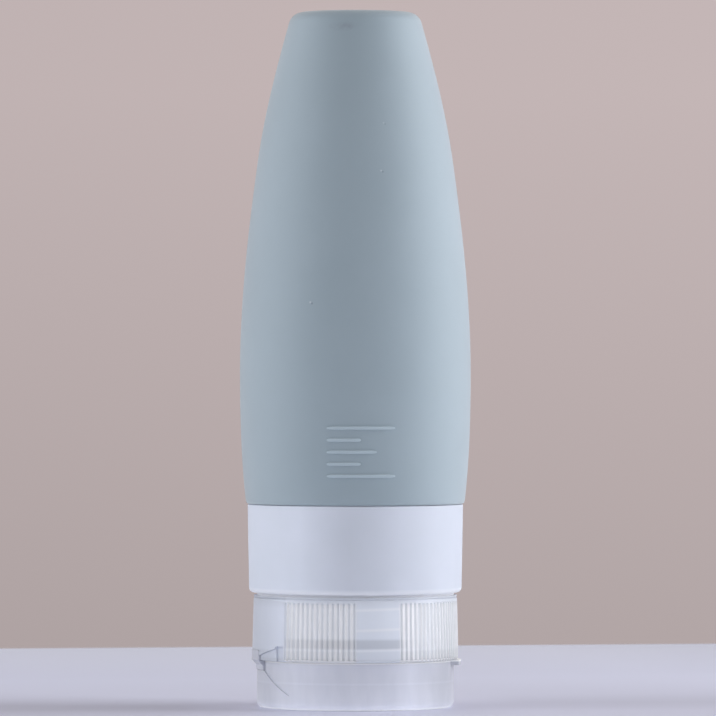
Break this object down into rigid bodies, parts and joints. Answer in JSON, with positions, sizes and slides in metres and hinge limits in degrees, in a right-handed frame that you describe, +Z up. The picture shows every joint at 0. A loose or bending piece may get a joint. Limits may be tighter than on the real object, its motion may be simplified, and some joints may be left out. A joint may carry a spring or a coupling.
{
  "type": "travel squeeze bottle",
  "caption": "Small soft silicone squeeze bottle on a white collar ring, with a ribbed screw cap, slit valve and snap flip lid, standing on its lid.",
  "frame": {"origin": "centre of the lid's flat end, on the bottle's axis", "axes": "+Z up along the bottle's axis from the lid towards the body's closed end, -Y towards the front"},
  "size_m": [0.038, 0.038, 0.1144],
  "materials": {
    "soft_silicone": "matt, grey-blue, opaque",
    "white_plastic": "satin white",
    "neck_plastic": "natural, faintly translucent",
    "valve_silicone": "matt, milky",
    "frosted_plastic": "frosted, translucent"
  },
  "bodies": {
    "bottle": {"squeeze_body": "soft_silicone", "neck_insert": "neck_plastic", "collar_ring": "white_plastic"},
    "seal": {"valve_seal": "valve_silicone"},
    "cap": {"screw_cap": "frosted_plastic", "hinge_strap": "frosted_plastic"},
    "lid": {"flip_lid": "frosted_plastic"}
  },
  "joints": [
    {"name": "cap_lift", "type": "slide", "parent": "bottle", "child": "seal", "axis": [0, 0, -1], "range_m": [0, 0.0067]},
    {"name": "cap_turn", "type": "hinge", "parent": "seal", "child": "cap", "pos_m": [0, 0, 0.008], "axis": [0, 0, -1], "range_deg": [0, 720]},
    {"name": "lid_flip", "type": "hinge", "parent": "cap", "child": "lid", "pos_m": [-0.01632, -0.00377, 0.00795], "axis": [-0.225, 0.9744, 0], "range_deg": [0, 150], "deforming": ["hinge_strap"]}
  ],
  "couplings": [
    {"joint": "cap_lift", "follows": "cap_turn", "m_per_rad": 0.00052521}
  ]
}
